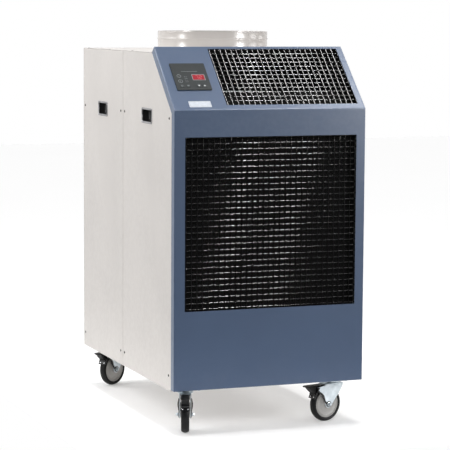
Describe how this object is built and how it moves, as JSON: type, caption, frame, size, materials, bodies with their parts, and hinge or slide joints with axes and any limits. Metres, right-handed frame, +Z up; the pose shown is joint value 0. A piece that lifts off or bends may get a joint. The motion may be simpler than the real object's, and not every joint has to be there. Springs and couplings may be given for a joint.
{
  "type": "portable air conditioner and dehumidifier",
  "caption": "Wheeled commercial cooling and dehumidifying cabinet with slanted outlet grille, wide wire intake, control plate, round duct collar and braked casters.",
  "frame": {"origin": "on the floor, at the middle of the footprint box", "axes": "+Z up, -Y out of the front cover, +X to the right as seen from the front"},
  "size_m": [0.7144, 1.1372, 1.386],
  "materials": {
    "cabinet_paint": "smooth satin powder coat, warm off-white",
    "cover_paint": "satin powder coat, slate blue",
    "black_wire": "black powder-coated wire",
    "filter_foam": "black open-cell filter medium",
    "aluminium": "fin stock, satin",
    "galvanised": "galvanised sheet",
    "zinc": "bright zinc plate",
    "motor_paint": "black enamel",
    "black_plastic": "moulded, fine texture",
    "key_plastic": "moulded key",
    "panel_overlay": "dark grey-green overlay",
    "display_window": "red window",
    "tyre": "black moulded tread",
    "wheel_core": "grey moulded core"
  },
  "bodies": {
    "cabinet": {"base_pan": "galvanised", "center_bulkhead": "galvanised", "left_front_panel": "cabinet_paint", "left_rear_panel": "cabinet_paint", "right_front_panel": "cabinet_paint", "right_rear_panel": "cabinet_paint", "top_panel": "cabinet_paint", "rear_panel": "cabinet_paint", "rear_grille": "black_wire", "front_cover": "cover_paint", "supply_grille": "black_wire", "return_grille": "black_wire", "return_filter": "filter_foam", "evaporator_coil": "aluminium", "condenser_coil": "aluminium", "evaporator_blower_housing": "galvanised", "condenser_blower_housing": "galvanised", "evaporator_blower_motor": "motor_paint", "condenser_blower_motor": "motor_paint", "compressor": "motor_paint", "condensate_tank": "black_plastic", "electrical_box": "galvanised", "control_plate": "panel_overlay", "display_lens": "display_window", "duct_collar": "cabinet_paint", "left_front_handle_cup": "black_plastic", "left_rear_handle_cup": "black_plastic", "right_front_handle_cup": "black_plastic", "right_rear_handle_cup": "black_plastic", "cord_gland": "black_plastic", "front_left_caster_plate": "zinc", "front_right_caster_plate": "zinc", "rear_left_caster_plate": "zinc", "rear_right_caster_plate": "zinc"},
    "front_left_swivel": {"front_left_caster_fork": "zinc", "front_left_caster_axle": "zinc"},
    "front_left_wheel": {"front_left_wheel_hub": "wheel_core", "front_left_wheel_tyre": "tyre"},
    "front_left_brake": {"front_left_brake_pedal": "black_plastic"},
    "front_right_swivel": {"front_right_caster_fork": "zinc", "front_right_caster_axle": "zinc"},
    "front_right_wheel": {"front_right_wheel_hub": "wheel_core", "front_right_wheel_tyre": "tyre"},
    "front_right_brake": {"front_right_brake_pedal": "black_plastic"},
    "rear_left_swivel": {"rear_left_caster_fork": "zinc", "rear_left_caster_axle": "zinc"},
    "rear_left_wheel": {"rear_left_wheel_hub": "wheel_core", "rear_left_wheel_tyre": "tyre"},
    "rear_left_brake": {"rear_left_brake_pedal": "black_plastic"},
    "rear_right_swivel": {"rear_right_caster_fork": "zinc", "rear_right_caster_axle": "zinc"},
    "rear_right_wheel": {"rear_right_wheel_hub": "wheel_core", "rear_right_wheel_tyre": "tyre"},
    "rear_right_brake": {"rear_right_brake_pedal": "black_plastic"},
    "evaporator_rotor": {"evaporator_blower_wheel": "aluminium"},
    "condenser_rotor": {"condenser_blower_wheel": "aluminium"},
    "power_button": {"key_power": "key_plastic"},
    "mode_button": {"key_mode": "key_plastic"},
    "down_button": {"key_down": "key_plastic"},
    "up_button": {"key_up": "key_plastic"}
  },
  "joints": [
    {"name": "front_left_swivel_turn", "type": "hinge", "parent": "cabinet", "child": "front_left_swivel", "pos_m": [-0.28, -0.4395, 0.139], "axis": [0, 0, 1], "continuous": true},
    {"name": "front_left_wheel_spin", "type": "hinge", "parent": "front_left_swivel", "child": "front_left_wheel", "pos_m": [-0.29089, -0.46959, 0.0635], "axis": [0.9403, -0.3404, 0], "continuous": true},
    {"name": "front_left_brake_press", "type": "hinge", "parent": "front_left_swivel", "child": "front_left_brake", "pos_m": [-0.3011, -0.4978, 0.1385], "axis": [0.9403, -0.3404, 0], "range_deg": [0, 8]},
    {"name": "front_right_swivel_turn", "type": "hinge", "parent": "cabinet", "child": "front_right_swivel", "pos_m": [0.28, -0.4395, 0.139], "axis": [0, 0, 1], "continuous": true},
    {"name": "front_right_wheel_spin", "type": "hinge", "parent": "front_right_swivel", "child": "front_right_wheel", "pos_m": [0.24924, -0.44832, 0.0635], "axis": [0.2756, -0.9613, 0], "continuous": true},
    {"name": "front_right_brake_press", "type": "hinge", "parent": "front_right_swivel", "child": "front_right_brake", "pos_m": [0.2204, -0.45659, 0.1385], "axis": [0.2756, -0.9613, 0], "range_deg": [0, 8]},
    {"name": "rear_left_swivel_turn", "type": "hinge", "parent": "cabinet", "child": "rear_left_swivel", "pos_m": [-0.235, 0.4755, 0.139], "axis": [0, 0, 1], "continuous": true},
    {"name": "rear_left_wheel_spin", "type": "hinge", "parent": "rear_left_swivel", "child": "rear_left_wheel", "pos_m": [-0.26234, 0.45887, 0.0635], "axis": [0.5195, -0.8545, 0], "continuous": true},
    {"name": "rear_left_brake_press", "type": "hinge", "parent": "rear_left_swivel", "child": "rear_left_brake", "pos_m": [-0.28798, 0.44329, 0.1385], "axis": [0.5195, -0.8545, 0], "range_deg": [0, 8]},
    {"name": "rear_right_swivel_turn", "type": "hinge", "parent": "cabinet", "child": "rear_right_swivel", "pos_m": [0.235, 0.4755, 0.139], "axis": [0, 0, 1], "continuous": true},
    {"name": "rear_right_wheel_spin", "type": "hinge", "parent": "rear_right_swivel", "child": "rear_right_wheel", "pos_m": [0.26034, 0.49504, 0.0635], "axis": [-0.6107, 0.7919, 0], "continuous": true},
    {"name": "rear_right_brake_press", "type": "hinge", "parent": "rear_right_swivel", "child": "rear_right_brake", "pos_m": [0.2841, 0.51336, 0.1385], "axis": [-0.6107, 0.7919, 0], "range_deg": [0, 8]},
    {"name": "evaporator_blower_spin", "type": "hinge", "parent": "cabinet", "child": "evaporator_rotor", "pos_m": [0, -0.165, 0.8], "axis": [1, 0, 0], "continuous": true},
    {"name": "condenser_blower_spin", "type": "hinge", "parent": "cabinet", "child": "condenser_rotor", "pos_m": [0, 0.215, 0.86], "axis": [1, 0, 0], "continuous": true},
    {"name": "key_power_press", "type": "slide", "parent": "cabinet", "child": "power_button", "axis": [0, 0.6917, -0.7222], "range_m": [0, 0.001], "stiffness_N_per_m": 400},
    {"name": "key_mode_press", "type": "slide", "parent": "cabinet", "child": "mode_button", "axis": [0, 0.6917, -0.7222], "range_m": [0, 0.001], "stiffness_N_per_m": 400},
    {"name": "key_down_press", "type": "slide", "parent": "cabinet", "child": "down_button", "axis": [0, 0.6917, -0.7222], "range_m": [0, 0.001], "stiffness_N_per_m": 400},
    {"name": "key_up_press", "type": "slide", "parent": "cabinet", "child": "up_button", "axis": [0, 0.6917, -0.7222], "range_m": [0, 0.001], "stiffness_N_per_m": 400}
  ]
}
